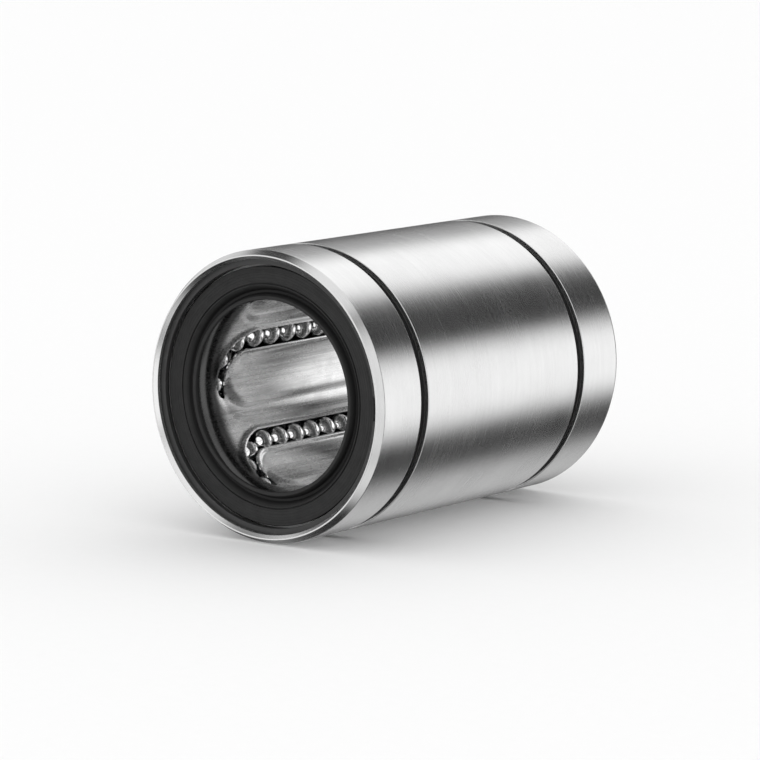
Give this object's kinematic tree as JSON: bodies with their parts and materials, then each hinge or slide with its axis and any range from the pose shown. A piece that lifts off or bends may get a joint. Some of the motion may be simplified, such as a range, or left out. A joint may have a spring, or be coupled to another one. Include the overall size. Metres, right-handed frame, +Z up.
{
  "type": "linear ball bushing",
  "caption": "Closed linear ball bushing: a ground steel sleeve with ring grooves, a pressed retainer with recirculating ball circuits, and a lip seal at each end.",
  "frame": {"origin": "centre of the bushing, on its axis, half way between the two end faces", "axes": "+Y along the shaft axis from the front end to the rear end, +Z up, +X to the right seen from the front end"},
  "size_m": [0.045, 0.064, 0.045],
  "materials": {
    "ground_steel": "cylindrically ground bearing steel, satin bright",
    "pressed_steel": "pressed and tumbled steel, soft satin",
    "ball_steel": "mirror polished bearing balls",
    "ring_steel": "plain pressed steel, slightly dull",
    "black_spring_steel": "black oxide spring steel, matt",
    "seal_rubber": "moulded nitrile rubber, matt charcoal with fine turned lines"
  },
  "bodies": {
    "housing": {"outer_sleeve": "ground_steel", "ball_retainer": "pressed_steel", "front_end_ring": "ring_steel", "front_seal_case": "ring_steel", "front_seal_lip": "seal_rubber", "front_snap_ring": "black_spring_steel", "rear_end_ring": "ring_steel", "rear_seal_case": "ring_steel", "rear_seal_lip": "seal_rubber", "rear_snap_ring": "black_spring_steel"},
    "circuit_1_load_row": {"circuit_1_load_row": "ball_steel"},
    "circuit_1_rear_turn": {"circuit_1_rear_turn": "ball_steel"},
    "circuit_1_return_row": {"circuit_1_return_row": "ball_steel"},
    "circuit_1_front_turn": {"circuit_1_front_turn": "ball_steel"},
    "circuit_2_load_row": {"circuit_2_load_row": "ball_steel"},
    "circuit_2_rear_turn": {"circuit_2_rear_turn": "ball_steel"},
    "circuit_2_return_row": {"circuit_2_return_row": "ball_steel"},
    "circuit_2_front_turn": {"circuit_2_front_turn": "ball_steel"},
    "circuit_3_load_row": {"circuit_3_load_row": "ball_steel"},
    "circuit_3_rear_turn": {"circuit_3_rear_turn": "ball_steel"},
    "circuit_3_return_row": {"circuit_3_return_row": "ball_steel"},
    "circuit_3_front_turn": {"circuit_3_front_turn": "ball_steel"},
    "circuit_4_load_row": {"circuit_4_load_row": "ball_steel"},
    "circuit_4_rear_turn": {"circuit_4_rear_turn": "ball_steel"},
    "circuit_4_return_row": {"circuit_4_return_row": "ball_steel"},
    "circuit_4_front_turn": {"circuit_4_front_turn": "ball_steel"},
    "circuit_5_load_row": {"circuit_5_load_row": "ball_steel"},
    "circuit_5_rear_turn": {"circuit_5_rear_turn": "ball_steel"},
    "circuit_5_return_row": {"circuit_5_return_row": "ball_steel"},
    "circuit_5_front_turn": {"circuit_5_front_turn": "ball_steel"},
    "circuit_6_load_row": {"circuit_6_load_row": "ball_steel"},
    "circuit_6_rear_turn": {"circuit_6_rear_turn": "ball_steel"},
    "circuit_6_return_row": {"circuit_6_return_row": "ball_steel"},
    "circuit_6_front_turn": {"circuit_6_front_turn": "ball_steel"}
  },
  "joints": [
    {"name": "circuit_1_load_travel", "type": "slide", "parent": "housing", "child": "circuit_1_load_row", "axis": [0, 1, 0], "range_m": [-0.00103, 0.00302]},
    {"name": "circuit_1_rear_turning", "type": "hinge", "parent": "housing", "child": "circuit_1_rear_turn", "pos_m": [-0.01666, 0.0162, 0.00021], "axis": [-0.9663, -0.2079, 0.1518], "range_deg": [-9.13, 26.9]},
    {"name": "circuit_1_front_turning", "type": "hinge", "parent": "housing", "child": "circuit_1_front_turn", "pos_m": [-0.01666, -0.0162, 0.00021], "axis": [-0.9663, 0.2079, 0.1518], "range_deg": [-9.13, 26.9]},
    {"name": "circuit_1_return_travel", "type": "slide", "parent": "housing", "child": "circuit_1_return_row", "axis": [0, 1, 0], "range_m": [-0.00303, 0.00103]},
    {"name": "circuit_2_load_travel", "type": "slide", "parent": "housing", "child": "circuit_2_load_row", "axis": [0, 1, 0], "range_m": [-0.00042, 0.00363]},
    {"name": "circuit_2_rear_turning", "type": "hinge", "parent": "housing", "child": "circuit_2_rear_turn", "pos_m": [-0.00851, 0.0162, -0.01432], "axis": [-0.6146, -0.2079, -0.7609], "range_deg": [-3.79, 32.24]},
    {"name": "circuit_2_front_turning", "type": "hinge", "parent": "housing", "child": "circuit_2_front_turn", "pos_m": [-0.00851, -0.0162, -0.01432], "axis": [-0.6146, 0.2079, -0.7609], "range_deg": [-3.79, 32.24]},
    {"name": "circuit_2_return_travel", "type": "slide", "parent": "housing", "child": "circuit_2_return_row", "axis": [0, 1, 0], "range_m": [-0.00363, 0.00043]},
    {"name": "circuit_3_load_travel", "type": "slide", "parent": "housing", "child": "circuit_3_load_row", "axis": [0, 1, 0], "range_m": [-0.00293, 0.00112]},
    {"name": "circuit_3_rear_turning", "type": "hinge", "parent": "housing", "child": "circuit_3_rear_turn", "pos_m": [0.00814, 0.0162, -0.01453], "axis": [0.3517, -0.2079, -0.9128], "range_deg": [-26.02, 10.02]},
    {"name": "circuit_3_front_turning", "type": "hinge", "parent": "housing", "child": "circuit_3_front_turn", "pos_m": [0.00814, -0.0162, -0.01453], "axis": [0.3517, 0.2079, -0.9128], "range_deg": [-26.02, 10.02]},
    {"name": "circuit_3_return_travel", "type": "slide", "parent": "housing", "child": "circuit_3_return_row", "axis": [0, 1, 0], "range_m": [-0.00113, 0.00293]},
    {"name": "circuit_4_load_travel", "type": "slide", "parent": "housing", "child": "circuit_4_load_row", "axis": [0, 1, 0], "range_m": [-0.00172, 0.00232]},
    {"name": "circuit_4_rear_turning", "type": "hinge", "parent": "housing", "child": "circuit_4_rear_turn", "pos_m": [0.01666, 0.0162, -0.00021], "axis": [0.9663, -0.2079, -0.1518], "range_deg": [-15.35, 20.68]},
    {"name": "circuit_4_front_turning", "type": "hinge", "parent": "housing", "child": "circuit_4_front_turn", "pos_m": [0.01666, -0.0162, -0.00021], "axis": [0.9663, 0.2079, -0.1518], "range_deg": [-15.35, 20.68]},
    {"name": "circuit_4_return_travel", "type": "slide", "parent": "housing", "child": "circuit_4_return_row", "axis": [0, 1, 0], "range_m": [-0.00233, 0.00173]},
    {"name": "circuit_5_load_travel", "type": "slide", "parent": "housing", "child": "circuit_5_load_row", "axis": [0, 1, 0], "range_m": [-0.00352, 0.00052]},
    {"name": "circuit_5_rear_turning", "type": "hinge", "parent": "housing", "child": "circuit_5_rear_turn", "pos_m": [0.00851, 0.0162, 0.01432], "axis": [0.6146, -0.2079, 0.7609], "range_deg": [-31.35, 4.68]},
    {"name": "circuit_5_front_turning", "type": "hinge", "parent": "housing", "child": "circuit_5_front_turn", "pos_m": [0.00851, -0.0162, 0.01432], "axis": [0.6146, 0.2079, 0.7609], "range_deg": [-31.35, 4.68]},
    {"name": "circuit_5_return_travel", "type": "slide", "parent": "housing", "child": "circuit_5_return_row", "axis": [0, 1, 0], "range_m": [-0.00053, 0.00353]},
    {"name": "circuit_6_load_travel", "type": "slide", "parent": "housing", "child": "circuit_6_load_row", "axis": [0, 1, 0], "range_m": [-0.00232, 0.00172]},
    {"name": "circuit_6_rear_turning", "type": "hinge", "parent": "housing", "child": "circuit_6_rear_turn", "pos_m": [-0.00814, 0.0162, 0.01453], "axis": [-0.3517, -0.2079, 0.9128], "range_deg": [-20.68, 15.35]},
    {"name": "circuit_6_front_turning", "type": "hinge", "parent": "housing", "child": "circuit_6_front_turn", "pos_m": [-0.00814, -0.0162, 0.01453], "axis": [-0.3517, 0.2079, 0.9128], "range_deg": [-20.68, 15.35]},
    {"name": "circuit_6_return_travel", "type": "slide", "parent": "housing", "child": "circuit_6_return_row", "axis": [0, 1, 0], "range_m": [-0.00173, 0.00233]}
  ],
  "couplings": [
    {"joint": "circuit_1_rear_turning", "follows": "circuit_1_load_travel", "rad_per_m": 155.14},
    {"joint": "circuit_1_front_turning", "follows": "circuit_1_load_travel", "rad_per_m": 155.14},
    {"joint": "circuit_1_return_travel", "follows": "circuit_1_load_travel", "ratio": -1},
    {"joint": "circuit_2_rear_turning", "follows": "circuit_2_load_travel", "rad_per_m": 155.14},
    {"joint": "circuit_2_front_turning", "follows": "circuit_2_load_travel", "rad_per_m": 155.14},
    {"joint": "circuit_2_return_travel", "follows": "circuit_2_load_travel", "ratio": -1},
    {"joint": "circuit_3_rear_turning", "follows": "circuit_3_load_travel", "rad_per_m": 155.14},
    {"joint": "circuit_3_front_turning", "follows": "circuit_3_load_travel", "rad_per_m": 155.14},
    {"joint": "circuit_3_return_travel", "follows": "circuit_3_load_travel", "ratio": -1},
    {"joint": "circuit_4_rear_turning", "follows": "circuit_4_load_travel", "rad_per_m": 155.14},
    {"joint": "circuit_4_front_turning", "follows": "circuit_4_load_travel", "rad_per_m": 155.14},
    {"joint": "circuit_4_return_travel", "follows": "circuit_4_load_travel", "ratio": -1},
    {"joint": "circuit_5_rear_turning", "follows": "circuit_5_load_travel", "rad_per_m": 155.14},
    {"joint": "circuit_5_front_turning", "follows": "circuit_5_load_travel", "rad_per_m": 155.14},
    {"joint": "circuit_5_return_travel", "follows": "circuit_5_load_travel", "ratio": -1},
    {"joint": "circuit_6_rear_turning", "follows": "circuit_6_load_travel", "rad_per_m": 155.14},
    {"joint": "circuit_6_front_turning", "follows": "circuit_6_load_travel", "rad_per_m": 155.14},
    {"joint": "circuit_6_return_travel", "follows": "circuit_6_load_travel", "ratio": -1}
  ]
}
